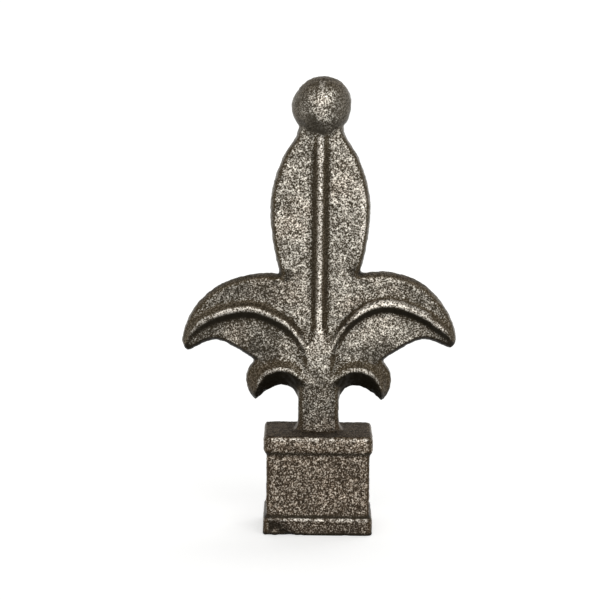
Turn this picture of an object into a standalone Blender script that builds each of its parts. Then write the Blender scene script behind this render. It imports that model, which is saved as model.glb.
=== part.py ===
"""Fleur-de-lis finial: one grey-iron casting whose square socket slips over the end of a picket.

The origin is the middle of the socket's mouth, +Z up and -Y the front. The pattern parts on the
plane Y = 0, so the leaves, the ribs, the stem and the ball are the same on both sides of it.
"""

import math

import bmesh
import bpy
from mathutils import Vector

# Overall sizes, in metres.
OVERALL_HEIGHT = 0.1365
LEAF_SPAN = 0.0826
BALL_DIAMETER = 0.018

# Socket block: four walls round the picket, closed at the top, with a band at each end.
SOCKET_WIDTH = 0.027
SOCKET_CEILING = 0.0058
SOCKET_CORNER = 0.0014
SOCKET_DRAFT = 0.0002
SOCKET_LEAD_IN = 0.0005
BLOCK_HEIGHT = 0.0298
WALL = 0.0019
BLOCK_CORNER = 0.0012
CAP_HEIGHT = 0.0055
CAP_PROUD = 0.0009
CAP_ROUND = 0.0007
FOOT_HEIGHT = 0.0054
FOOT_PROUND = 0.0011
FOOT_SLOPE = 0.0007
BAND_ROUND = 0.0004

# Stem between the block and the leaves.
STEM_WIDTH = 0.0122
STEM_DEPTH = 0.012
STEM_FACE = 0.0064
STEM_CROWN = 0.0003
STEM_CHEEK = 0.0066
STEM_FLARE = 0.0018
STEM_FLARE_RISE = 0.0032
STEM_ROOT = 0.0015

# Leaves: flat pads with rounded edges, and a raised rib along the middle of each. Their rise is
# measured from a level a little below the block's top.
LEAF_SEAT = 0.0007
PAD_THICKNESS = 0.008
PAD_EDGE = 0.0016
MIDDLE_LEAF_WIDTH = 0.0302
RIB_PROUD = 0.0024
MIDDLE_RIB_WIDTH = 0.007
SIDE_RIB_UPPER = 0.003
LEFT_RIB_LOWER = 0.0042
RIGHT_RIB_LOWER = 0.0034
TIP_ROUND = 0.0008
FLAT_SHARE = 0.08

# Lower curls: two hooked ridges that spring from the stem.
CURL_CREST = 0.0062
CURL_EDGE = 0.0007
CURL_BULGE = 0.0003

# How finely the curves are divided.
STEPS_PER_STATION = 2
BALL_SEGMENTS = 28
BALL_RINGS = 16
CORNER_STEPS = 4
FLARE_TURNS = [0, 30, 55, 75, 90]
CAP_TURNS = [0, 30, 60, 90]
SHARP_ANGLE = 35

# Shares of half the leaf span, and of the rise from the leaves' seat to the ball's centre.
RIGHT_UPPER_SHARES = [
    (0.024, 0.439), (0.133, 0.470), (0.254, 0.487), (0.387, 0.495), (0.533, 0.494),
    (0.712, 0.470), (0.845, 0.426), (0.940, 0.371), (0.988, 0.322), (1.000, 0.290),
]
RIGHT_CREST_SHARES = [
    (0.077, 0.215), (0.087, 0.263), (0.177, 0.330), (0.334, 0.384), (0.508, 0.400),
    (0.678, 0.381), (0.789, 0.358), (0.884, 0.329), (0.944, 0.309), (0.978, 0.284),
]
LEFT_UPPER_SHARES = [
    (0.024, 0.439), (0.133, 0.466), (0.254, 0.482), (0.375, 0.489), (0.496, 0.484),
    (0.654, 0.466), (0.809, 0.428), (0.925, 0.373), (0.983, 0.316), (1.000, 0.280),
]
LEFT_CREST_SHARES = [
    (0.077, 0.215), (0.087, 0.263), (0.194, 0.326), (0.334, 0.362), (0.496, 0.384),
    (0.659, 0.377), (0.775, 0.360), (0.884, 0.336), (0.949, 0.305), (0.976, 0.270),
]
LEFT_LOWER_SHARES = [
    (0.087, 0.182), (0.157, 0.197), (0.291, 0.195), (0.412, 0.207), (0.513, 0.233),
    (0.639, 0.265), (0.755, 0.282), (0.852, 0.270), (0.918, 0.254), (0.955, 0.247),
]
RIGHT_LOWER_SHARES = [
    (0.087, 0.182), (0.157, 0.197), (0.291, 0.195), (0.412, 0.208), (0.513, 0.237),
    (0.639, 0.270), (0.755, 0.289), (0.852, 0.280), (0.918, 0.269), (0.955, 0.262),
]
SIDE_DEPTH_SHARES = [0.97, 0.98, 0.98, 0.98, 0.98, 0.97, 0.93, 0.86, 0.74, 0.60]

CURL_OUTER_SHARES = [
    (0.036, 0.217), (0.121, 0.237), (0.230, 0.241), (0.329, 0.237), (0.441, 0.226),
    (0.513, 0.190), (0.525, 0.155), (0.506, 0.124), (0.475, 0.106),
]
CURL_CREST_SHARES = [
    (0.036, 0.136), (0.128, 0.172), (0.223, 0.195), (0.303, 0.197), (0.380, 0.184),
    (0.429, 0.163), (0.450, 0.140), (0.460, 0.120), (0.458, 0.105),
]
CURL_INNER_SHARES = [
    (0.126, 0.076), (0.162, 0.116), (0.218, 0.140), (0.295, 0.142), (0.361, 0.130),
    (0.402, 0.119), (0.429, 0.109), (0.438, 0.106), (0.448, 0.103),
]
CURL_DEPTH_SHARES = [0.94, 0.97, 1.0, 1.0, 0.97, 0.92, 0.82, 0.64, 0.40]
CURL_RIM_SHARES = [0.55, 0.55, 0.55, 0.54, 0.50, 0.42, 0.36, 0.32, 0.30]

# Rise, width, rib and pad shares of the middle leaf, from inside the stem up into the ball.
MIDDLE_LEAF_SHARES = [
    (0.237, 0.199, 0.60, 0.96), (0.318, 0.397, 0.88, 0.96), (0.399, 0.623, 1.0, 0.96),
    (0.485, 0.788, 1.0, 0.975), (0.524, 0.858, 1.0, 1.0), (0.598, 0.957, 1.0, 1.0),
    (0.691, 1.000, 1.0, 1.0), (0.764, 0.937, 1.0, 1.0), (0.819, 0.818, 0.95, 1.0),
    (0.857, 0.709, 0.90, 1.0), (0.893, 0.550, 0.80, 1.0), (0.921, 0.464, 0.65, 1.0),
    (0.960, 0.424, 0.50, 1.0),
]

# Rise, width, depth, front-face and cheek shares of the stem, as it narrows in among the ribs.
STEM_TOP_SHARES = [
    (0.110, 1.00, 1.00, 1.00, 1.00), (0.170, 1.00, 1.01, 1.00, 1.03), (0.220, 0.98, 1.02, 0.96, 1.12),
    (0.265, 0.80, 1.02, 0.80, 1.18), (0.295, 0.62, 1.03, 0.42, 1.18), (0.325, 0.50, 1.02, 0.20, 1.16),
]

# Profiles run from a foot, 0, up to a crest, 1.
EDGE_PROFILE_SHARES = [(0.0, 0.0), (0.07, 0.36), (0.28, 0.68), (0.60, 0.90), (1.0, 1.0)]
RIB_PROFILE_SHARES = [(0.0, 0.0), (0.26, 0.11), (0.55, 0.52), (0.82, 0.89)]
CURL_INNER_PROFILE_SHARES = [(0.0, 0.0), (0.30, 0.36), (0.64, 0.72), (0.88, 0.92)]
CURL_OUTER_PROFILE_SHARES = [(0.0, 0.0), (0.30, 0.20), (0.60, 0.54), (0.86, 0.88)]

# Height from the ball's centre and radius of the collar under the ball, as shares of its radius.
COLLAR_SHARES = [
    (-0.50, 0.800), (-0.70, 0.722), (-0.83, 0.625), (-0.95, 0.560), (-1.07, 0.500), (-1.20, 0.420),
]

BALL_CENTRE = OVERALL_HEIGHT - BALL_DIAMETER / 2
SOCKET_DEPTH = BLOCK_HEIGHT - SOCKET_CEILING
LEAF_DATUM = BLOCK_HEIGHT - LEAF_SEAT
RISE = BALL_CENTRE - LEAF_DATUM
PAD_FACE = PAD_THICKNESS / 2


def clear_scene():
    for item in list(bpy.data.objects):
        bpy.data.objects.remove(item, do_unlink=True)


def cast_iron():
    material = bpy.data.materials.new("cast_iron")
    material.use_nodes = True
    shader = material.node_tree.nodes["Principled BSDF"]
    shader.inputs["Base Color"].default_value = (0.13, 0.115, 0.1, 1)
    shader.inputs["Metallic"].default_value = 0.85
    shader.inputs["Roughness"].default_value = 0.55
    return material


def solid(name, rings):
    """A closed object lofted through rings of points, with a flat cap at each end."""
    mesh = bmesh.new()
    levels = [[mesh.verts.new(point) for point in ring] for ring in rings]
    count = len(rings[0])
    for below, above in zip(levels, levels[1:]):
        for i in range(count):
            following = (i + 1) % count
            mesh.faces.new((below[i], below[following], above[following], above[i]))
    mesh.faces.new(levels[0])
    mesh.faces.new(levels[-1])
    return placed(name, mesh)


def placed(name, mesh):
    """An object in the scene made from a bmesh, in triangles that face outwards."""
    bmesh.ops.triangulate(mesh, faces=mesh.faces[:])
    bmesh.ops.recalc_face_normals(mesh, faces=mesh.faces[:])
    data = bpy.data.meshes.new(name)
    mesh.to_mesh(data)
    mesh.free()
    made = bpy.data.objects.new(name, data)
    bpy.context.scene.collection.objects.link(made)
    return made


def join(body, piece, operation="UNION"):
    """Welds a piece to the body, or cuts it away, and leaves the piece as a wire guide."""
    boolean = body.modifiers.new(piece.name, "BOOLEAN")
    boolean.operation = operation
    boolean.solver = "EXACT"
    boolean.object = piece
    piece.hide_render = True
    piece.display_type = "WIRE"


def smooth_stations(values, steps):
    """Catmull-Rom curve through a list of tuples, with the given steps between each pair."""
    points = [Vector(value) for value in values]
    before = points[0] * 2 - points[1]
    after = points[-1] * 2 - points[-2]
    padded = [before, *points, after]
    curve = []
    for a, b, c, d in zip(padded, padded[1:], padded[2:], padded[3:]):
        for step in range(steps):
            t = step / steps
            square = a * 2 - b * 5 + c * 4 - d
            cube = b * 3 - a - c * 3 + d
            curve.append((b * 2 + (c - a) * t + square * t**2 + cube * t**3) / 2)
    curve.append(points[-1])
    return curve


def rise_at(share):
    return LEAF_DATUM + share * RISE


def guide(shares, side):
    """A guide curve on the parting plane, as (x, z), on the side of the given sign."""
    half_span = LEAF_SPAN / 2
    curve = smooth_stations(shares, STEPS_PER_STATION)
    return [Vector((side * x * half_span, rise_at(z))) for x, z in curve]


def depths(shares):
    return [value.x for value in smooth_stations([(share, 0) for share in shares], STEPS_PER_STATION)]


def ring_about_parting(front):
    """Closes a list of (x, z, height) that starts and ends on the parting plane."""
    back = [(x, height, z) for x, z, height in reversed(front[1:-1])]
    return [(x, -height, z) for x, z, height in front] + back


def flank(edge, crest, rib_width, rib_proud, scale):
    """From a leaf's edge, round on to its pad and up the rib, short of the crest."""
    reach = (crest - edge).length
    fit = min(1.0, reach * (1 - FLAT_SHARE) / (PAD_EDGE + rib_width))
    inward = (crest - edge) / reach
    face = PAD_FACE * scale
    points = []
    for along, up in EDGE_PROFILE_SHARES:
        place = edge + inward * (along * PAD_EDGE * fit)
        points.append((place.x, place.y, up * face))
    for along, up in RIB_PROFILE_SHARES:
        place = crest - inward * ((1 - along) * rib_width * fit)
        points.append((place.x, place.y, face + up * rib_proud))
    return points


def leaf_ring(first_edge, crest, second_edge, first_rib, second_rib, rib_proud, scale):
    front = flank(first_edge, crest, first_rib, rib_proud, scale)
    front.append((crest.x, crest.y, PAD_FACE * scale + rib_proud))
    front += reversed(flank(second_edge, crest, second_rib, rib_proud, scale))
    return ring_about_parting(front)


def middle_leaf():
    """The upright leaf, its rib running from the stem up into the ball."""
    half_rib = MIDDLE_RIB_WIDTH / 2
    rings = []
    for rise, width, proud, pad in smooth_stations(MIDDLE_LEAF_SHARES, STEPS_PER_STATION):
        half = Vector((width * MIDDLE_LEAF_WIDTH / 2, 0))
        crest = Vector((0, rise_at(rise)))
        rings.append(
            leaf_ring(crest - half, crest, crest + half, half_rib, half_rib, proud * RIB_PROUD, pad)
        )
    return solid("middle_leaf", rings)


def side_leaf(name, side, upper_shares, crest_shares, lower_shares, rib_lower):
    """A spreading leaf, lofted along its upper edge, its rib and its lower edge."""
    upper = guide(upper_shares, side)
    crest = guide(crest_shares, side)
    lower = guide(lower_shares, side)
    scales = depths(SIDE_DEPTH_SHARES)
    rings = [
        leaf_ring(a, b, c, SIDE_RIB_UPPER, rib_lower, RIB_PROUD * scale, scale)
        for a, b, c, scale in zip(upper, crest, lower, scales)
    ]
    rings.append(tip_ring(rings[-1], crest[-1], crest[-2]))
    return solid(name, rings)


def tip_ring(last, crest, before):
    """The last ring drawn in to half its size and pushed out by the tip's round."""
    out = (crest - before).normalized() * TIP_ROUND
    return [
        ((x + crest.x) / 2 + out.x, y / 2, (z + crest.y) / 2 + out.y) for x, y, z in last
    ]


def curl(name, side):
    """A hooked ridge: its crest follows one guide and falls to an edge on either side."""
    outer = guide(CURL_OUTER_SHARES, side)
    crest = guide(CURL_CREST_SHARES, side)
    inner = guide(CURL_INNER_SHARES, side)
    scales = depths(CURL_DEPTH_SHARES)
    rims = depths(CURL_RIM_SHARES)
    rings = []
    for a, b, c, scale, rim in zip(outer, crest, inner, scales, rims):
        top = CURL_CREST * scale
        rim_height = rim * top
        out = (a - b).normalized() * CURL_BULGE
        front = [(a.x + out.x, a.y + out.y, 0)]
        for along, up in CURL_OUTER_PROFILE_SHARES:
            place = a.lerp(b, along)
            front.append((place.x, place.y, rim_height + up * (top - rim_height)))
        front.append((b.x, b.y, top))
        edge = CURL_EDGE * scale
        for along, up in reversed(CURL_INNER_PROFILE_SHARES):
            place = c.lerp(b, along)
            front.append((place.x, place.y, edge + up * (top - edge)))
        front.append((c.x, c.y, 0))
        rings.append(ring_about_parting(front))
    rings.append(tip_ring(rings[-1], crest[-1], crest[-2]))
    return solid(name, rings)


def stem_ring(z, width, depth, face, cheek):
    """A section with crowned front and back faces and sloped flanks."""
    front = [
        (-width / 2, z, 0),
        (-width / 2, z, cheek / 2),
        (-face / 2, z, depth / 2 - STEM_CROWN),
        (0, z, depth / 2),
        (face / 2, z, depth / 2 - STEM_CROWN),
        (width / 2, z, cheek / 2),
        (width / 2, z, 0),
    ]
    return ring_about_parting(front)


def flare_steps():
    """Levels of the fillet at the stem's foot, each with how far it widens the stem there."""
    steps = [(BLOCK_HEIGHT - STEM_ROOT, STEM_FLARE * 2)]
    for turn in FLARE_TURNS:
        angle = math.radians(turn)
        rise = STEM_FLARE_RISE * (1 - math.cos(angle))
        steps.append((BLOCK_HEIGHT + rise, STEM_FLARE * 2 * (1 - math.sin(angle))))
    return steps


def stem():
    """The stem: a flared foot on the block, a straight shank, and a top that runs in among the ribs."""
    rings = [
        stem_ring(z, STEM_WIDTH + flare, STEM_DEPTH + flare, STEM_FACE + flare, STEM_CHEEK + flare)
        for z, flare in flare_steps()
    ]
    sizes = (STEM_WIDTH, STEM_DEPTH, STEM_FACE, STEM_CHEEK)
    for rise, *shares in smooth_stations(STEM_TOP_SHARES, STEPS_PER_STATION):
        rings.append(stem_ring(rise_at(rise), *(share * size for share, size in zip(shares, sizes))))
    return solid("stem", rings)


def ball():
    """The ball at the top, a turned form about the middle leaf's axis."""
    mesh = bmesh.new()
    bmesh.ops.create_uvsphere(
        mesh, u_segments=BALL_SEGMENTS, v_segments=BALL_RINGS, radius=BALL_DIAMETER / 2
    )
    bmesh.ops.translate(mesh, verts=mesh.verts[:], vec=(0, 0, BALL_CENTRE))
    return placed("ball", mesh)


def collar():
    """The cast fillet under the ball, which runs down on to the rib and the pad."""
    radius = BALL_DIAMETER / 2
    rings = []
    for height, share in COLLAR_SHARES:
        ring = []
        for step in range(BALL_SEGMENTS):
            angle = math.radians(360) * step / BALL_SEGMENTS
            ring.append(
                (
                    share * radius * math.cos(angle),
                    share * radius * math.sin(angle),
                    BALL_CENTRE + height * radius,
                )
            )
        rings.append(ring)
    return solid("collar", rings)


def square_ring(half, corner, z):
    """A square with rounded corners, at one level."""
    points = []
    for quadrant in range(4):
        middle = math.radians(90) * quadrant + math.radians(45)
        centre_x = math.copysign(half - corner, math.cos(middle))
        centre_y = math.copysign(half - corner, math.sin(middle))
        for step in range(CORNER_STEPS + 1):
            angle = math.radians(90) * (quadrant + step / CORNER_STEPS)
            points.append((centre_x + corner * math.cos(angle), centre_y + corner * math.sin(angle), z))
    return points


def block():
    """The square block: foot band, walls, and a cap band with a rounded top edge."""
    wall = SOCKET_WIDTH / 2 + WALL
    foot = wall + FOOT_PROUND
    cap = wall + CAP_PROUD
    cap_under = BLOCK_HEIGHT - CAP_HEIGHT
    levels = [
        (0, foot - BAND_ROUND / 2),
        (BAND_ROUND, foot),
        (FOOT_HEIGHT - BAND_ROUND, foot),
        (FOOT_HEIGHT, foot - BAND_ROUND),
        (FOOT_HEIGHT + FOOT_SLOPE, wall),
        (cap_under, wall),
        (cap_under + BAND_ROUND / 2, cap - BAND_ROUND),
        (cap_under + BAND_ROUND * 2, cap),
    ]
    for turn in CAP_TURNS:
        angle = math.radians(turn)
        half = cap - CAP_ROUND * (1 - math.cos(angle))
        levels.append((BLOCK_HEIGHT - CAP_ROUND * (1 - math.sin(angle)), half))
    corner_past_wall = BLOCK_CORNER - wall
    return solid("finial", [square_ring(half, half + corner_past_wall, z) for z, half in levels])


def socket():
    """The cavity: a drafted square hole with a lead-in at its mouth."""
    levels = [
        (-SOCKET_LEAD_IN, SOCKET_LEAD_IN * 2, SOCKET_LEAD_IN * 2),
        (SOCKET_LEAD_IN, 0, 0),
        (SOCKET_DEPTH - SOCKET_LEAD_IN, -SOCKET_DRAFT, 0),
        (SOCKET_DEPTH, -SOCKET_DRAFT - SOCKET_LEAD_IN, 0),
    ]
    rings = []
    for z, wider, rounder in levels:
        half = SOCKET_WIDTH / 2 + wider
        rings.append(square_ring(half, SOCKET_CORNER + rounder, z))
    return solid("socket", rings)


def main():
    clear_scene()
    finial = block()
    join(finial, socket(), "DIFFERENCE")
    pieces = [
        stem(),
        middle_leaf(),
        side_leaf(
            "left_leaf", -1, LEFT_UPPER_SHARES, LEFT_CREST_SHARES, LEFT_LOWER_SHARES, LEFT_RIB_LOWER
        ),
        side_leaf(
            "right_leaf", 1, RIGHT_UPPER_SHARES, RIGHT_CREST_SHARES, RIGHT_LOWER_SHARES, RIGHT_RIB_LOWER
        ),
        curl("left_curl", -1),
        curl("right_curl", 1),
        collar(),
        ball(),
    ]
    for piece in pieces:
        join(finial, piece)
    finial.data.materials.append(cast_iron())
    finial.data.shade_smooth()
    finial.data.set_sharp_from_angle(angle=math.radians(SHARP_ANGLE))


main()
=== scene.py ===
import math
from types import SimpleNamespace

import bmesh
import bpy
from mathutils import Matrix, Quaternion, Vector


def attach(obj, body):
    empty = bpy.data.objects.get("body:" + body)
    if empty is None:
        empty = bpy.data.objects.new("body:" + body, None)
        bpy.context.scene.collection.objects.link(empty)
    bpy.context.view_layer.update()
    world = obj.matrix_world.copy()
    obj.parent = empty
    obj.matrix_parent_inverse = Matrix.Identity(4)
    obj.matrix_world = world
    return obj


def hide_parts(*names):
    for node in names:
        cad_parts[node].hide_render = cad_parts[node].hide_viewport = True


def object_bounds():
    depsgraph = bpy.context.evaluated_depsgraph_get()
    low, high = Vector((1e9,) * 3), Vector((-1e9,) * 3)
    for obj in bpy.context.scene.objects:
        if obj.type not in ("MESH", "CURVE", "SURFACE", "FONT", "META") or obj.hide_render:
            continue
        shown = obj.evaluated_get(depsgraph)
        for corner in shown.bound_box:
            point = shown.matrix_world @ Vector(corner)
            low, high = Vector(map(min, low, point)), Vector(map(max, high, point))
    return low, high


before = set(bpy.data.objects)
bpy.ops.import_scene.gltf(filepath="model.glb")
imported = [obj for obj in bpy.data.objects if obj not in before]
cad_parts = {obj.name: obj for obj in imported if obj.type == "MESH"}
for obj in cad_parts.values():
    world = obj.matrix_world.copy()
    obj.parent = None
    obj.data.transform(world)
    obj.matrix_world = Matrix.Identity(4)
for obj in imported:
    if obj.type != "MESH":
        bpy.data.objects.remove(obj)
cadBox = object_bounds()
print("frame loaded, box", [[round(v * 1000, 2) for v in corner] for corner in cadBox])


# helpers for building node trees
def pick(sockets, key):
    if isinstance(key, int):
        return sockets[key]
    return next(s for s in sockets if s.name == key and s.enabled)


def add(tree, kind, values=None, out=0, **settings):  # a node, its inputs set or linked
    made = tree.nodes.new(kind)
    for name, value in settings.items():
        setattr(made, name, value)
    for key, value in (values or {}).items():
        socket = pick(made.inputs, key)
        if isinstance(value, bpy.types.NodeSocket):
            tree.links.new(value, socket)
        else:
            socket.default_value = value
    return pick(made.outputs, out)


def calc(tree, operation, *values, clamp=False):
    return add(tree, "ShaderNodeMath", dict(enumerate(values)), operation=operation, use_clamp=clamp)


def times(tree, first, *others):  # all of them multiplied
    for other in others:
        first = calc(tree, "MULTIPLY", first, other)
    return first


def most(tree, first, *others):  # the largest of them
    for other in others:
        first = calc(tree, "MAXIMUM", first, other)
    return first


def lessOf(tree, value, share=1.0):  # 1 where the value is 0, lower by this share where it is 1
    return calc(tree, "MULTIPLY_ADD", value, -share, 1.0)


def vec(tree, operation, *values, out="Vector"):
    return add(tree, "ShaderNodeVectorMath", dict(enumerate(values)), out=out, operation=operation)


def ease(tree, value, low, high, to=(0.0, 1.0), smooth=True):  # low to high becomes to[0] to to[1]
    kind = "SMOOTHSTEP" if smooth else "LINEAR"
    return add(tree, "ShaderNodeMapRange", {"Value": value, "From Min": low, "From Max": high,
               "To Min": to[0], "To Max": to[1]}, interpolation_type=kind, clamp=True)


def blend(tree, amount, first, second, mode="MIX"):
    return add(tree, "ShaderNodeMix", {"Factor": amount, "A": first, "B": second}, out="Result",
               data_type="RGBA", blend_type=mode, clamp_factor=True)


def between(tree, amount, first, second):  # the same for plain numbers
    return add(tree, "ShaderNodeMix", {"Factor": amount, "A": first, "B": second}, out="Result",
               data_type="FLOAT")


def newTree(name, kind, inputs, outputs):
    tree = bpy.data.node_groups.new(name, kind)
    for title, socketType, value in inputs:
        socket = tree.interface.new_socket(title, in_out="INPUT", socket_type=socketType)
        if value is not None:
            socket.default_value = value
    for title, socketType in outputs:
        tree.interface.new_socket(title, in_out="OUTPUT", socket_type=socketType)
    return tree, tree.nodes.new("NodeGroupInput").outputs, tree.nodes.new("NodeGroupOutput").inputs


# camera, at the photograph's viewing angle
viewFromFront = {
    "lens": 200.4,
    "sensor": 36,
    "nearest": 0.01,
    "place": (-0.00586, -1.0, 0.18),
    "aim": (-0.00586, 0.0, 0.069),
    "roll": 0.55,
}


def placeCamera(view):
    data = bpy.data.cameras.new("camera")
    data.lens = view["lens"]
    data.sensor_width = view["sensor"]
    data.clip_start = view["nearest"]
    camera = bpy.data.objects.new("camera", data)
    bpy.context.scene.collection.objects.link(camera)
    camera.location = view["place"]
    look = (Vector(view["aim"]) - Vector(view["place"])).to_track_quat("-Z", "Y")
    camera.rotation_mode = "QUATERNION"
    camera.rotation_quaternion = look @ Quaternion((0, 0, 1), math.radians(view["roll"]))
    bpy.context.scene.camera = camera


placeCamera(viewFromFront)
print("camera placed")


# sand grain: light and dark specks, and their height
ironGrain = {
    "detail": 1.0,
    "roughness": 0.5,
    "distortion": 0.3,
    "flakeFineness": 1.1,
    "sandShare": 0.82,
    "flakeShare": 0.18,
    "gain": 2.3,
}


def grainGroup(sizes):
    tree, given, result = newTree("ironGrain", "ShaderNodeTree", [
        ("Vector", "NodeSocketVector", None),
        ("Grain Size", "NodeSocketFloat", 0.0004),
        ("Contrast", "NodeSocketFloat", 1.0),
    ], [("Speck", "NodeSocketFloat"), ("Flake", "NodeSocketFloat"), ("Height", "NodeSocketFloat")])
    scale = calc(tree, "DIVIDE", 1.0, given["Grain Size"])
    sand = add(tree, "ShaderNodeTexNoise", {"Vector": given["Vector"], "Scale": scale,
               "Detail": sizes["detail"], "Roughness": sizes["roughness"],
               "Distortion": sizes["distortion"]}, out="Fac")
    fine = times(tree, scale, sizes["flakeFineness"])
    cells = add(tree, "ShaderNodeTexVoronoi", {"Vector": given["Vector"], "Scale": fine}, out="Color")
    flake = add(tree, "ShaderNodeSeparateColor", {"Color": cells}, out="Red")
    mixed = calc(tree, "ADD", times(tree, sand, sizes["sandShare"]),
                 times(tree, flake, sizes["flakeShare"]))
    centred = calc(tree, "SUBTRACT", mixed, 0.5)
    gain = times(tree, given["Contrast"], sizes["gain"])
    tree.links.new(calc(tree, "MULTIPLY_ADD", centred, gain, 0.5, clamp=True), result["Speck"])
    tree.links.new(flake, result["Flake"])
    tree.links.new(mixed, result["Height"])
    return tree


# slow changes of tone over the casting, patches of brown oxide, and a browner, darker block
foundryTone = {
    "patchSize": 0.012,
    "blockHeight": 0.0285,
    "cloudDetail": 3.0,
    "cloudRoughness": 0.55,
    "cloudShare": 0.6,
    "mottleFineness": 7.0,
    "mottleDetail": 2.0,
    "mottleShare": 0.4,
    # from, to, and what that becomes
    "tone": (0.35, 0.65, (0.76, 1.06)),
    "cluster": (0.35, 0.65, (-0.5, 0.5)),
    "brown": (0.45, 0.7, (0.0, 0.35)),
    "blockBrown": (0.012, -0.004, (0.0, 0.88)),
}


def toneGroup(sizes):
    tree, given, result = newTree("foundryTone", "ShaderNodeTree", [
        ("Vector", "NodeSocketVector", None),
        ("Patch Size", "NodeSocketFloat", sizes["patchSize"]),
        ("Block Height", "NodeSocketFloat", sizes["blockHeight"]),
    ], [("Tone", "NodeSocketFloat"), ("Brown", "NodeSocketFloat"), ("Cluster", "NodeSocketFloat")])
    scale = calc(tree, "DIVIDE", 1.0, given["Patch Size"])
    cloud = add(tree, "ShaderNodeTexNoise", {"Vector": given["Vector"], "Scale": scale,
                "Detail": sizes["cloudDetail"], "Roughness": sizes["cloudRoughness"]}, out="Fac")
    fine = times(tree, scale, sizes["mottleFineness"])
    mottle = add(tree, "ShaderNodeTexNoise", {"Vector": given["Vector"], "Scale": fine,
                 "Detail": sizes["mottleDetail"]}, out="Fac")
    soft = calc(tree, "ADD", times(tree, cloud, sizes["cloudShare"]),
                times(tree, mottle, sizes["mottleShare"]))
    tree.links.new(ease(tree, soft, *sizes["tone"]), result["Tone"])
    tree.links.new(ease(tree, mottle, *sizes["cluster"]), result["Cluster"])
    low = add(tree, "ShaderNodeSeparateXYZ", {"Vector": given["Vector"]}, out="Z")
    # the block is browner and darker all over, below its top
    onBlock = ease(tree, calc(tree, "SUBTRACT", low, given["Block Height"]), *sizes["blockBrown"])
    tree.links.new(most(tree, ease(tree, cloud, *sizes["brown"]), onBlock), result["Brown"])
    return tree


ironLook = {
    "grainSize": 0.00042,
    "contrast": 1.4,
    "cluster": 0.16,
    # speck colours of the faces painted as lit, the lightest ones painted glints
    "specks": [
        (0.0, (0.030, 0.0242, 0.0148)),
        (0.32, (0.095, 0.081, 0.060)),
        (0.60, (0.30, 0.268, 0.223)),
        (1.0, (0.83, 0.79, 0.695)),
    ],
    # painted shade on the slopes, brown-black with lighter specks, a painted pale reflection at the rims and
    # painted shade on top
    "skin": (0.037, 0.0265, 0.0125),
    "skinLight": (0.165, 0.134, 0.095),
    "skinSpecks": (0.3, 1.0, (0.0, 0.85)),
    # a painted pale reflection on rims turned away from the front
    "rimDark": (0.13, 0.120, 0.102),
    "rimLight": (0.40, 0.385, 0.345),
    "rimSpecks": (0.15, 0.9),
    "rimShare": 0.8,
    # painted shade on faces turned upwards
    "topShadeTint": (0.25, 0.217, 0.175),
    "topShare": 0.8,
    # where the broad faces painted as lit end, and how raggedly
    "litFaces": (0.85, 0.985),
    "ragged": 0.17,
    # how far the painted shade patches darken the specks and the level
    "patchShift": 0.32,
    "patchDark": 0.45,
    "oxide": (0.75, 0.61, 0.51),
    "oxideSpecks": (0.55, 0.95, (1.0, 0.45)),
    # painted highlight colours for crests, lips and an edge
    "highlight": (0.98, 0.92, 0.82),
    "highlightDull": (0.36, 0.31, 0.25),
    "highlightSpecks": (0.15, 0.6, (0.15, 1.0)),
    "glintSpecks": (0.25, 0.8),
    "shadeBlack": (0.0105, 0.0076, 0.0030),
    "deepShadeShare": 0.6,
    "chipShade": (0.25, 0.65, (0.0, 0.82)),
    "metallic": 0.72,
    "gloss": 0.3,
    "flakeRough": (0.62, 0.36),
    "skinRough": 0.55,
    "crestRough": 0.38,
    "topRough": 1.0,
    "bumpHeight": 0.00011,
    "bumpShare": (0.45, 1.0),
}


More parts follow.
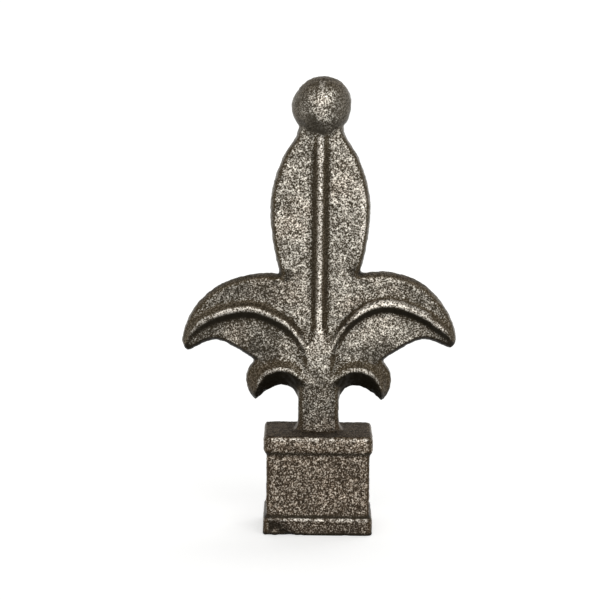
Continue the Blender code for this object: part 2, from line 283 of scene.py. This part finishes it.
def sandCastIron(look):
    material = bpy.data.materials.new("sandCastIron")
    material.use_nodes = True
    tree = material.node_tree
    shader = tree.nodes["Principled BSDF"]
    place = add(tree, "ShaderNodeTexCoord", out="Object")

    def mask(name):
        return add(tree, "ShaderNodeAttribute", out="Fac", attribute_name=name)

    def onPlace(group):
        node = tree.nodes.new("ShaderNodeGroup")
        node.node_tree = group
        tree.links.new(place, node.inputs["Vector"])
        return node

    def solid(name):
        return (*look[name], 1)

    crest, hollowShade, deepShade, facing = (mask(n) for n in ("crest", "hollowShade", "deepShade", "facing"))
    rimSheen, topShade, underShade, shade, chip = (mask(n) for n in ("rimSheen", "topShade", "underShade", "shade", "chip"))
    tone = onPlace(toneGroup(foundryTone)).outputs
    grain = onPlace(grainGroup(ironGrain))
    grain.inputs["Grain Size"].default_value = look["grainSize"]
    grain.inputs["Contrast"].default_value = look["contrast"]
    speck = grain.outputs["Speck"]

    # the broad faces, painted as lit: specks from black to near white, the brightest painted glints
    ramp = tree.nodes.new("ShaderNodeValToRGB")
    while len(ramp.color_ramp.elements) < len(look["specks"]):
        ramp.color_ramp.elements.new(0.5)
    for element, (position, colour) in zip(ramp.color_ramp.elements, look["specks"]):
        element.position = position
        element.color = (*colour, 1)
    # painted shade patches darken the specks and the level, and below zero lighten them as painted
    # highlights
    dimmed = calc(tree, "MULTIPLY_ADD", shade, -look["patchShift"], speck)
    dimmed = calc(tree, "MULTIPLY_ADD", tone["Cluster"], look["cluster"], dimmed, clamp=True)
    tree.links.new(dimmed, ramp.inputs["Fac"])
    level = times(tree, tone["Tone"], lessOf(tree, shade, look["patchDark"]))
    grey = add(tree, "ShaderNodeCombineColor", {"Red": level, "Green": level, "Blue": level})
    speckled = blend(tree, 1.0, ramp.outputs["Color"], grey, "MULTIPLY")

    # the slopes in painted shade, the rims with a painted pale reflection and the tops in painted shade,
    # then oxide, a painted highlight on the crests and painted shade in hollows, chips and undersides over
    # all
    skin = blend(tree, ease(tree, speck, *look["skinSpecks"]), solid("skin"), solid("skinLight"))
    # a painted pale reflection on the rims
    edgeSheen = blend(tree, ease(tree, speck, *look["rimSpecks"]), solid("rimDark"), solid("rimLight"))
    skin = blend(tree, times(tree, rimSheen, look["rimShare"]), skin, edgeSheen)
    # the tops are painted darker, as shaded
    shadedTop = blend(tree, 1.0, speckled, solid("topShadeTint"), "MULTIPLY")
    skin = blend(tree, times(tree, topShade, look["topShare"]), skin, shadedTop)
    # faces that squarely face the front or back are painted as lit, the rest keep the painted shade of the
    # slopes
    ragged = calc(tree, "MULTIPLY_ADD", calc(tree, "SUBTRACT", speck, 0.5), look["ragged"], facing)
    litFaces = ease(tree, ragged, *look["litFaces"])
    colour = blend(tree, litFaces, skin, speckled)
    browned = blend(tree, 1.0, colour, solid("oxide"), "MULTIPLY")
    browning = times(tree, tone["Brown"], ease(tree, speck, *look["oxideSpecks"]))
    colour = blend(tree, browning, colour, browned)
    # a painted highlight on crests, lips and an edge, in specks
    glint = blend(tree, ease(tree, speck, *look["glintSpecks"]), solid("highlightDull"), solid("highlight"))
    glint = blend(tree, 1.0, glint, grey, "MULTIPLY")
    colour = blend(tree, times(tree, crest, ease(tree, speck, *look["highlightSpecks"])), colour, glint)
    # painted shade in creases, hollows, on undersides and inside the chips
    paintedShade = most(tree, hollowShade, times(tree, deepShade, look["deepShadeShare"]), underShade,
                ease(tree, chip, *look["chipShade"]))
    colour = blend(tree, paintedShade, colour, solid("shadeBlack"))
    tree.links.new(colour, shader.inputs["Base Color"])

    rough = ease(tree, grain.outputs["Flake"], 0.0, 1.0, look["flakeRough"], smooth=False)
    rough = between(tree, litFaces, look["skinRough"], rough)
    rough = between(tree, crest, rough, look["crestRough"])
    rough = between(tree, topShade, rough, look["topRough"])
    tree.links.new(rough, shader.inputs["Roughness"])
    shader.inputs["Metallic"].default_value = look["metallic"]
    shader.inputs["Specular IOR Level"].default_value = look["gloss"]

    bump = tree.nodes.new("ShaderNodeBump")
    bump.inputs["Distance"].default_value = look["bumpHeight"]
    tree.links.new(ease(tree, litFaces, 0.0, 1.0, look["bumpShare"]), bump.inputs["Strength"])
    tree.links.new(grain.outputs["Height"], bump.inputs["Height"])
    tree.links.new(bump.outputs["Normal"], shader.inputs["Normal"])
    return material


iron = sandCastIron(ironLook)
print("iron finish made")


# the casting: a rounded, pitted and grained skin over the CAD shape
casting = {
    "cell": 0.00048,
    "mergeWithin": 1e-7,
    "roundSteps": 3,
    "returnSteps": 3.0,
    "creaseSteps": 6,
    "valleySteps": 60,
    "laySteps": 2,
    "lumpSize": 0.0018,
    "lumpHeight": 0.00070,
    "lumpDetail": 2.0,
    "grainSize": 0.0013,
    "grainHeight": 0.00011,
    "grainDetail": 1.0,
    "pitSize": 0.0024,
    "pitDepth": 0.00022,
    "pitDetail": 1.0,
    "chipDetail": 2.0,
    "swell": 0.00036,
    "ballLean": 0.00062,
    "cornerWear": 0.0007,
    "clearance": 0.00001,
    "seed": 7.0,
    "patchCore": 0.35,
    # place on the face, reach and strength of painted shade patches, below zero painted highlights
    "patches": [
        # leaves, curls and stem
        ((-0.026, 0.074), 0.024, 0.60), ((-0.038, 0.062), 0.016, 0.62),
        ((0.034, 0.072), 0.018, 0.50), ((0.016, 0.076), 0.012, 0.25),
        ((-0.018, 0.058), 0.012, 0.45), ((0.0, 0.037), 0.016, 0.52),
        ((-0.014, 0.048), 0.010, 0.45), ((0.014, 0.048), 0.010, 0.40),
        ((-0.019, 0.051), 0.011, 0.95), ((0.0195, 0.0505), 0.0095, 0.95),
        ((0.0195, 0.0590), 0.0085, -0.12), ((-0.0002, 0.0345), 0.0048, -0.20),
        ((0.0112, 0.0779), 0.0032, 1.2), ((-0.0103, 0.0768), 0.0030, 1.1),
        # block
        ((0.0, 0.008), 0.034, 0.47), ((-0.012, 0.001), 0.010, 0.80),
        ((0.008, 0.001), 0.016, 0.78), ((0.0056, 0.0105), 0.009, -0.12),
        # ball and the middle leaf's top and left edge
        ((-0.0012, 0.1215), 0.0031, 1.3), ((0.0004, 0.1198), 0.0024, 1.3),
        ((-0.0028, 0.1232), 0.0028, 1.0), ((-0.0050, 0.1275), 0.0035, 0.5),
        ((0.0058, 0.1265), 0.0035, 0.6), ((0.0, 0.1345), 0.0045, 0.35),
        ((-0.0045, 0.1235), 0.0045, 0.6), ((-0.0045, 0.1315), 0.0035, 0.45),
        ((0.0052, 0.1300), 0.0035, 0.45), ((0.0048, 0.1235), 0.0035, 0.4),
        ((0.0011, 0.1312), 0.0034, -0.3), ((0.0009, 0.1243), 0.0024, -0.3),
        ((-0.008, 0.116), 0.008, 0.15), ((-0.0119, 0.1062), 0.0016, 0.7),
        ((-0.0143, 0.1008), 0.0014, 0.6), ((-0.0131, 0.0971), 0.0013, 0.6),
    ],
    "flawCore": 0.3,
    # place, reach and depth of flaws at the block's foot, and of a small pit in the right rib
    "flaws": [
        ((-0.0132, -0.0165, 0.0026), 0.0026, 0.00070),
        ((-0.0108, -0.0165, 0.0016), 0.0028, 0.00080),
        ((-0.0096, -0.0165, 0.0007), 0.0020, 0.00060),
        ((-0.0082, -0.0162, -0.0002), 0.0021, 0.00120),
        ((-0.0145, -0.0162, 0.0006), 0.0018, 0.00050),
        ((-0.0052, -0.0165, -0.0002), 0.0013, 0.00060),
        ((0.0085, -0.0165, 0.0002), 0.0016, 0.00030),
        ((0.0078, -0.0060, 0.0623), 0.0012, 0.00040),
    ],
}

# where the casting gets painted highlights and painted shade, where its relief lies and its corners
# are worn. A pair runs from nothing to full, and a third value says what the two become. Foot and top
# are heights, inside and outside are distances from the middle, raised is height above the middle
# plane, bend is hollow above zero, and slope and facing are parts of a normal.
paintedLightAndWear = {
    "blockTop": 0.0292,
    "ballFoot": (0.1180, 0.1205),
    "stemTop": (0.049, 0.044),
    "stemSlope": (0.98, 0.78),
    "stemRoot": (0.0345, 0.0320),
    "forkTop": (0.0680, 0.0590),
    "forkOutside": (0.0080, 0.0055),
    "forkFoot": (0.0500, 0.0530),
    "curlTop": 0.0535,
    "curlInside": 0.008,
    "rightRibInside": (0.0030, 0.0045),
    "rightRibFoot": (0.055, 0.058),
    "rightRibSlope": (0.04, 0.28),
    # painted shade in creases, valleys and the groove over the foot, and on undersides
    "creaseBend": (0.00004, 0.00018),
    "stemShadeCut": 0.85,
    "forkShadeCut": 0.75,
    "valeOutside": (0.0034, 0.0026),
    "valeInside": (0.0010, 0.0016, (0.0, 0.45)),
    "valeFoot": (0.060, 0.070),
    "valeTop": (0.117, 0.114),
    "deepBend": (0.0002, 0.0008),
    "deepShadeCut": 0.8,
    "undersideSlope": (-0.15, -0.60),
    "ballShadeCut": 0.5,
    "grooveFoot": (0.0050, 0.0054),
    "grooveTop": (0.0065, 0.0059, (0.0, 0.85)),
    "bottomEdge": (0.0011, 0.0005),
    # painted highlights on crests, lips and one edge
    "ribRaised": (0.0042, 0.0048),
    "rightRibRaised": (0.0036, 0.0045),
    "curlRaised": (0.0030, 0.0044),
    "overStem": (0.047, 0.052),
    "besideStem": (0.008, 0.0095),
    "crestFoot": 0.034,
    "crestFacing": (0.78, 0.93),
    "rightRibTurn": 0.30,
    "dullTop": (0.064, 0.053),
    "dullOutside": (0.0055, 0.0035),
    "dullFork": 0.75,
    "dullCurl": 0.25,
    "spotDetail": 1.0,
    "crestSpotSize": 0.0013,
    "crestSpots": (0.38, 0.56, (0.50, 1.0)),
    "leftOfCrest": (-0.0017, -0.0010),
    "rightOfCrest": (0.0008, 0.0002, (0.0, 0.4)),
    "middleRibFoot": (0.056, 0.062),
    "lipSlope": (0.05, 0.24),
    "lipFacing": (0.72, 0.85),
    "lipTop": 0.031,
    "lipSpotSize": 0.0022,
    "lipSpots": (0.42, 0.62, (0.10, 0.8)),
    "highlightBend": (0.0, -0.00006),
    "rightRibBend": 0.00003,
    "edgeInside": (0.0115, 0.0125),
    "edgeFoot": (0.080, 0.086),
    "edgeTop": (0.105, 0.099),
    "edgeFacing": (0.80, 0.92),
    "edgeBend": (0.0, -0.00003),
    # painted light on the stem and fork, the ball's wider painted highlight, a painted pale reflection on
    # rims and painted shade on tops
    "stemLeft": (-0.0054, -0.0040),
    "stemRight": (0.0056, 0.0043),
    "cheekLit": 0.76,
    "forkLit": 0.90,
    "ballSpread": 0.38,
    "rimFacing": (0.50, 0.15),
    "rimSlope": (0.7, 0.3),
    "ballRim": (0.8, 0.2, (0.06, 0.30)),
    "topSlope": (0.55, 0.9),
    "blockDuller": (0.040, 0.032, (0.6, 1.0)),
    "ballDull": 0.4,
    # relief
    "pits": (0.62, 0.78),
    "footRelief": (0.0050, 0.0066, (0.5, 1.0)),
    "floorRelief": (0.0002, 0.0010),
    "swellFoot": (0.0050, 0.0066),
    "capCorner": (0.0140, 0.0166),
    "capFoot": (0.0235, 0.0275),
    "chipRagged": (0.35, 0.65, (0.4, 1.0)),
    "leanFoot": (0.1270, 0.1345),
}

# the tree's named sizes and their names in the casting's dictionary
skinSizes = {
    "Lump Size": "lumpSize", "Lump Height": "lumpHeight", "Grain Size": "grainSize",
    "Grain Height": "grainHeight", "Pit Size": "pitSize", "Pit Depth": "pitDepth", "Swell": "swell",
    "Ball Lean": "ballLean", "Corner Wear": "cornerWear", "Seed": "seed",
}


def copyOfNode(name):  # the CAD solid's mesh, its loose triangles merged
    mesh = bmesh.new()
    mesh.from_mesh(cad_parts[name].data)
    bmesh.ops.remove_doubles(mesh, verts=mesh.verts[:], dist=casting["mergeWithin"])
    data = bpy.data.meshes.new(name + "Copy")
    mesh.to_mesh(data)
    mesh.free()
    made = bpy.data.objects.new(name + "Copy", data)
    bpy.context.scene.collection.objects.link(made)
    return made


def blur(tree, value, steps):
    return add(tree, "GeometryNodeBlurAttribute", {"Value": value, "Iterations": steps}, out="Value",
               data_type="FLOAT_VECTOR")


def roundedShape(tree, given):  # cast fillets: smooth, then give the slow part of the shrinkage back
    place = add(tree, "GeometryNodeInputPosition")
    smooth = blur(tree, place, given["Round Steps"])
    steps = times(tree, given["Round Steps"], casting["returnSteps"])
    back = blur(tree, vec(tree, "SUBTRACT", place, smooth), steps)
    return add(tree, "GeometryNodeSetPosition", {"Geometry": given["Geometry"],
               "Position": vec(tree, "ADD", smooth, back)})


def readSkin(tree, given):  # what the masks and the relief are made from
    place = add(tree, "GeometryNodeInputPosition")
    normal = add(tree, "GeometryNodeInputNormal")
    seed = add(tree, "ShaderNodeCombineXYZ", {"X": given["Seed"], "Y": 0.0, "Z": 0.0})
    spot = add(tree, "ShaderNodeSeparateXYZ", {"Vector": place}).node.outputs
    even = blur(tree, normal, casting["laySteps"])
    lay = add(tree, "ShaderNodeSeparateXYZ", {"Vector": even}).node.outputs

    def bend(steps):
        pulled = vec(tree, "SUBTRACT", blur(tree, place, steps), place)
        return vec(tree, "DOT_PRODUCT", pulled, normal, out="Value")

    return SimpleNamespace(
        place=place, normal=normal, moved=vec(tree, "ADD", place, seed),
        x=spot["X"], across=calc(tree, "ABSOLUTE", spot["X"]), raised=calc(tree, "ABSOLUTE", spot["Y"]),
        height=spot["Z"], rightwards=lay["X"], frontwards=lay["Y"], upwards=lay["Z"],
        bend=bend(casting["creaseSteps"]), wideBend=bend(casting["valleySteps"]))


def noise(tree, skin, size, detail):
    scale = calc(tree, "DIVIDE", 1.0, size)
    return add(tree, "ShaderNodeTexNoise", {"Vector": skin.moved, "Scale": scale, "Detail": detail})


def limitsOf(tree):  # eases a value between the limits that the dictionary of painted light, shade and wear has under a name
    return lambda value, name: ease(tree, value, *paintedLightAndWear[name])


def findZones(tree, skin):  # parts of the casting, 0 outside and 1 inside, and how squarely it faces
    on = limitsOf(tree)
    onBlock = calc(tree, "LESS_THAN", skin.height, paintedLightAndWear["blockTop"])
    offBlock = lessOf(tree, onBlock)
    upLeft = calc(tree, "SUBTRACT", skin.upwards, skin.rightwards)
    sideways = times(tree, calc(tree, "ABSOLUTE", skin.rightwards), onBlock)
    return SimpleNamespace(
        ball=on(skin.height, "ballFoot"),
        stem=times(tree, on(skin.height, "stemTop"), offBlock, on(skin.upwards, "stemSlope")),
        root=times(tree, on(skin.height, "stemRoot"), offBlock),
        fork=times(tree, on(skin.height, "forkTop"), on(skin.across, "forkOutside"),
                   on(skin.height, "forkFoot")),
        curl=times(tree, calc(tree, "LESS_THAN", skin.height, paintedLightAndWear["curlTop"]),
                   calc(tree, "GREATER_THAN", skin.across, paintedLightAndWear["curlInside"])),
        rightRib=times(tree, on(skin.x, "rightRibInside"), on(skin.height, "rightRibFoot"),
                       on(upLeft, "rightRibSlope")),
        facing=most(tree, calc(tree, "ABSOLUTE", skin.frontwards), sideways))


def paintedShadeMasks(tree, skin, zone):
    on = limitsOf(tree)
    # painted shade in creases everywhere, less on the stem, and in the valleys beside the middle rib, all
    # less at the fork
    share = lessOf(tree, most(tree, zone.stem, zone.root), paintedLightAndWear["stemShadeCut"])
    creaseShade = times(tree, on(skin.bend, "creaseBend"), share)
    valeShade = times(tree, on(skin.across, "valeOutside"), on(skin.across, "valeInside"),
                 on(skin.height, "valeFoot"), on(skin.height, "valeTop"))
    hollowShade = times(tree, most(tree, creaseShade, valeShade), lessOf(tree, zone.fork, paintedLightAndWear["forkShadeCut"]))
    # painted shade in wide hollows, less at the stem's root and the fork
    share = lessOf(tree, most(tree, zone.root, zone.fork), paintedLightAndWear["deepShadeCut"])
    deepShade = times(tree, on(skin.wideBend, "deepBend"), share)
    # painted shade on undersides, less on the ball, in the groove over the foot and along the bottom edge
    undersideShade = times(tree, on(skin.upwards, "undersideSlope"), lessOf(tree, zone.ball, paintedLightAndWear["ballShadeCut"]))
    grooveShade = times(tree, on(skin.height, "grooveFoot"), on(skin.height, "grooveTop"))
    underShade = most(tree, undersideShade, grooveShade, on(skin.height, "bottomEdge"))
    return {"hollowShade": hollowShade, "deepShade": deepShade, "underShade": underShade}


def crestHighlightMask(tree, skin, zone):
    on = limitsOf(tree)

    def spots(name):
        return on(noise(tree, skin, paintedLightAndWear[name + "SpotSize"], paintedLightAndWear["spotDetail"]), name + "Spots")

    # painted highlight on ribs and curls clear of the stem and the ball, and on the slope over the right
    # rib's crest
    raised = most(tree, times(tree, zone.rightRib, on(skin.raised, "rightRibRaised")),
                  on(skin.raised, "ribRaised"), times(tree, zone.curl, on(skin.raised, "curlRaised")))
    clear = times(tree, most(tree, on(skin.height, "overStem"), on(skin.across, "besideStem")),
                  calc(tree, "GREATER_THAN", skin.height, paintedLightAndWear["crestFoot"]), lessOf(tree, zone.ball))
    turned = calc(tree, "MULTIPLY_ADD", zone.rightRib, paintedLightAndWear["rightRibTurn"], zone.facing)
    dull = times(tree, on(skin.height, "dullTop"), on(skin.across, "dullOutside"))
    crest = times(tree, raised, clear, on(turned, "crestFacing"), lessOf(tree, dull, paintedLightAndWear["dullFork"]),
                  lessOf(tree, zone.curl, paintedLightAndWear["dullCurl"]), spots("crest"))
    # a fainter painted highlight along the middle rib, mostly left of its crest
    beside = times(tree, on(skin.x, "leftOfCrest"), on(skin.x, "rightOfCrest"),
                   on(skin.height, "middleRibFoot"), on(skin.raised, "ribRaised"))
    # a painted highlight on the upper lips of the block's bands
    lip = times(tree, on(skin.upwards, "lipSlope"), on(zone.facing, "lipFacing"),
                calc(tree, "LESS_THAN", skin.height, paintedLightAndWear["lipTop"]), spots("lip"))
    bend = calc(tree, "MULTIPLY_ADD", zone.rightRib, -paintedLightAndWear["rightRibBend"], skin.bend)
    highlight = times(tree, on(bend, "highlightBend"), most(tree, crest, beside, lip))
    # a thin painted highlight along the middle leaf's right side
    edgeSheen = times(tree, on(skin.x, "edgeInside"), on(skin.height, "edgeFoot"), on(skin.height, "edgeTop"),
                 on(zone.facing, "edgeFacing"), on(skin.bend, "edgeBend"))
    return most(tree, highlight, edgeSheen)


def faceMasks(tree, skin, zone):
    on = limitsOf(tree)
    # the stem's slanting cheeks and flared foot are painted nearly as lit as its face
    sides = times(tree, on(skin.x, "stemLeft"), on(skin.x, "stemRight"))
    cheeks = calc(tree, "MULTIPLY_ADD", sides, 1 - paintedLightAndWear["cheekLit"], paintedLightAndWear["cheekLit"])
    stemLit = times(tree, zone.stem, cheeks)
    # the ball's painted highlight spreads wider than on the flat faces
    aside = times(tree, calc(tree, "SUBTRACT", zone.facing, 1.0),
                  lessOf(tree, zone.ball, paintedLightAndWear["ballSpread"]))
    facing = most(tree, calc(tree, "ADD", aside, 1.0), stemLit, times(tree, zone.fork, paintedLightAndWear["forkLit"]))
    # a painted pale reflection on rims that turn away from the front, and on the ball's rim
    rimSheen = most(tree, times(tree, on(zone.facing, "rimFacing"), on(skin.upwards, "rimSlope")),
               times(tree, zone.ball, on(skin.upwards, "ballRim")))
    # painted shade on upward faces, full on the block, less higher up and on the ball, none on the stem
    topShadeShare = times(tree, lessOf(tree, zone.ball), lessOf(tree, zone.stem),
                 on(skin.height, "blockDuller"))
    topShadeShare = most(tree, topShadeShare, times(tree, zone.ball, paintedLightAndWear["ballDull"]))
    return {"facing": facing, "rimSheen": rimSheen, "topShade": times(tree, on(skin.upwards, "topSlope"), topShadeShare)}


def shadeMask(tree, skin):  # painted shade and painted highlights, darker or lighter, from soft patches set by hand
    face = add(tree, "ShaderNodeCombineXYZ", {"X": skin.x, "Y": 0.0, "Z": skin.height})
    dark, light = 0.0, 0.0
    for centre, reach, amount in casting["patches"]:
        far = vec(tree, "DISTANCE", face, (centre[0], 0.0, centre[1]), out="Value")
        soft = ease(tree, far, reach, reach * casting["patchCore"], (0.0, amount))
        if amount > 0:
            dark = calc(tree, "MAXIMUM", dark, soft)
        else:
            light = calc(tree, "MINIMUM", light, soft)
    return calc(tree, "ADD", dark, light)


def relief(tree, given, skin):  # how deep the skin lies under the CAD surface, and where it is chipped
    on = limitsOf(tree)
    lumps = noise(tree, skin, given["Lump Size"], casting["lumpDetail"])
    lumps = times(tree, lumps, given["Lump Height"])
    grain = noise(tree, skin, given["Grain Size"], casting["grainDetail"])
    grain = times(tree, grain, given["Grain Height"])
    pits = noise(tree, skin, given["Pit Size"], casting["pitDetail"])
    pits = times(tree, on(pits, "pits"), given["Pit Depth"])
    sunk = calc(tree, "ADD", calc(tree, "ADD", lumps, grain), pits)
    sunk = times(tree, sunk, on(skin.height, "footRelief"), on(skin.height, "floorRelief"))
    sunk = calc(tree, "SUBTRACT", sunk, times(tree, given["Swell"], on(skin.height, "swellFoot")))
    blunt = times(tree, on(skin.across, "capCorner"), on(skin.raised, "capCorner"),
                  on(skin.height, "capFoot"))
    sunk = calc(tree, "MULTIPLY_ADD", blunt, given["Corner Wear"], sunk)
    chip = 0.0
    ragged = on(noise(tree, skin, given["Grain Size"], casting["chipDetail"]), "chipRagged")
    for centre, reach, depth in casting["flaws"]:
        far = vec(tree, "DISTANCE", skin.place, centre, out="Value")
        bite = times(tree, ease(tree, far, reach, reach * casting["flawCore"]), ragged)
        chip = most(tree, chip, bite)
        sunk = calc(tree, "MULTIPLY_ADD", bite, depth, sunk)
    return sunk, chip


def skinTree():
    sizes = [(title, "NodeSocketFloat", casting[key]) for title, key in skinSizes.items()]
    tree, given, result = newTree("castSkin", "GeometryNodeTree", [
        ("Geometry", "NodeSocketGeometry", None),
        ("Round Steps", "NodeSocketInt", casting["roundSteps"]),
        *sizes,
        ("Box Low", "NodeSocketVector", None),
        ("Box High", "NodeSocketVector", None),
        ("Iron", "NodeSocketMaterial", None),
    ], [("Geometry", "NodeSocketGeometry")])
    shape = roundedShape(tree, given)
    skin = readSkin(tree, given)
    zone = findZones(tree, skin)
    sunk, chip = relief(tree, given, skin)
    masks = {**paintedShadeMasks(tree, skin, zone), **faceMasks(tree, skin, zone),
             "crest": crestHighlightMask(tree, skin, zone), "shade": shadeMask(tree, skin), "chip": chip}
    for name, value in masks.items():
        shape = add(tree, "GeometryNodeStoreNamedAttribute",
                    {"Geometry": shape, "Name": name, "Value": value}, data_type="FLOAT", domain="POINT")

    # the relief, held inside the CAD's box, and the ball's upper third a little to the right
    outward = times(tree, sunk, -1.0)
    offset = add(tree, "ShaderNodeVectorMath", {0: skin.normal, "Scale": outward}, out="Vector",
                 operation="SCALE")
    lean = times(tree, ease(tree, skin.height, *paintedLightAndWear["leanFoot"]), given["Ball Lean"])
    lean = add(tree, "ShaderNodeCombineXYZ", {"X": lean, "Y": 0.0, "Z": 0.0})
    moved = vec(tree, "ADD", vec(tree, "ADD", skin.place, lean), offset)
    moved = vec(tree, "MAXIMUM", vec(tree, "MINIMUM", moved, given["Box High"]), given["Box Low"])
    shape = add(tree, "GeometryNodeSetPosition", {"Geometry": shape, "Position": moved})
    shape = add(tree, "GeometryNodeSetShadeSmooth", {"Geometry": shape})
    shape = add(tree, "GeometryNodeRealizeInstances", {"Geometry": shape})
    shape = add(tree, "GeometryNodeSetMaterial", {"Geometry": shape, "Material": given["Iron"]})
    tree.links.new(shape, result["Geometry"])
    return tree


def finished(source, name):  # the evaluated object as a plain mesh of its own
    graph = bpy.context.evaluated_depsgraph_get()
    data = bpy.data.meshes.new_from_object(source.evaluated_get(graph), preserve_all_data_layers=True,
                                           depsgraph=graph)
    data.name = name
    made = bpy.data.objects.new(name, data)
    bpy.context.scene.collection.objects.link(made)
    bpy.data.objects.remove(source, do_unlink=True)
    return made


def castPiece(node, name, sizes):
    rough = copyOfNode(node)
    remesh = rough.modifiers.new("even", "REMESH")
    remesh.mode = "VOXEL"
    remesh.voxel_size = sizes["cell"]
    rough = finished(rough, "even")
    tree = skinTree()
    skin = rough.modifiers.new("castSkin", "NODES")
    skin.node_group = tree
    values = {title: sizes[key] for title, key in skinSizes.items()}
    values["Round Steps"] = sizes["roundSteps"]
    values["Box Low"] = [v + sizes["clearance"] for v in cadBox[0]]
    values["Box High"] = [v - sizes["clearance"] for v in cadBox[1]]
    values["Iron"] = iron
    for item in tree.interface.items_tree:
        if item.in_out == "INPUT" and item.name in values:
            skin[item.identifier] = values[item.name]
    return finished(rough, name)


finial = castPiece("finial", "castFinial", casting)
print("casting made:", sum(len(face.vertices) - 2 for face in finial.data.polygons), "triangles")
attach(finial, "root")
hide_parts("finial")


# floor, lamps and world
studio = {
    "floorRadius": 9.0,
    "floorSides": 96,
    "floorRough": 0.9,
    "floorColour": (0.78, 0.78, 0.77, 1),
    "floorGlow": 0.47,
    "skyLevel": 0.36,
    "lamps": [
        # name, strength, turn from the front, height above the floor, softness
        ("frontLamp", 1.35, 8, 30, 55),
        ("backLamp", 1.0, 165, 40, 60),
    ],
}


def seenDirectly(tree):  # 1 for what the camera, a mirror or glass sees
    path = tree.nodes.new("ShaderNodeLightPath").outputs
    return most(tree, path["Is Camera Ray"], path["Is Glossy Ray"], path["Is Transmission Ray"])


def paleFloor(settings):
    mesh = bmesh.new()
    bmesh.ops.create_circle(mesh, cap_ends=True, segments=settings["floorSides"],
                             radius=settings["floorRadius"])
    data = bpy.data.meshes.new("floor")
    mesh.to_mesh(data)
    mesh.free()
    floor = bpy.data.objects.new("floor", data)
    bpy.context.scene.collection.objects.link(floor)
    material = bpy.data.materials.new("paleFloor")
    material.use_nodes = True
    tree = material.node_tree
    shader = tree.nodes["Principled BSDF"]
    shader.inputs["Base Color"].default_value = settings["floorColour"]
    shader.inputs["Roughness"].default_value = settings["floorRough"]
    shader.inputs["Specular IOR Level"].default_value = 0.0
    shader.inputs["Emission Color"].default_value = (1, 1, 1, 1)
    glow = times(tree, seenDirectly(tree), settings["floorGlow"])
    tree.links.new(glow, shader.inputs["Emission Strength"])
    data.materials.append(material)


def lightStudio(settings):
    world = bpy.data.worlds.new("studio")
    bpy.context.scene.world = world
    world.use_nodes = True
    tree = world.node_tree
    background = tree.nodes["Background"]
    background.inputs["Color"].default_value = (1, 1, 1, 1)
    sky = ease(tree, seenDirectly(tree), 0.0, 1.0, (settings["skyLevel"], 1.0), smooth=False)
    tree.links.new(sky, background.inputs["Strength"])
    for name, strength, turn, height, softness in settings["lamps"]:
        data = bpy.data.lights.new(name, "SUN")
        data.energy = strength
        data.angle = math.radians(softness)
        lamp = bpy.data.objects.new(name, data)
        bpy.context.scene.collection.objects.link(lamp)
        around, up = math.radians(turn), math.radians(height)
        level = math.cos(up)
        towards = Vector((math.sin(around) * level, -math.cos(around) * level, math.sin(up)))
        lamp.rotation_mode = "QUATERNION"
        lamp.rotation_quaternion = (-towards).to_track_quat("-Z", "Y")


paleFloor(studio)
lightStudio(studio)
bpy.context.scene.view_settings.view_transform = "Standard"
print("studio lit")
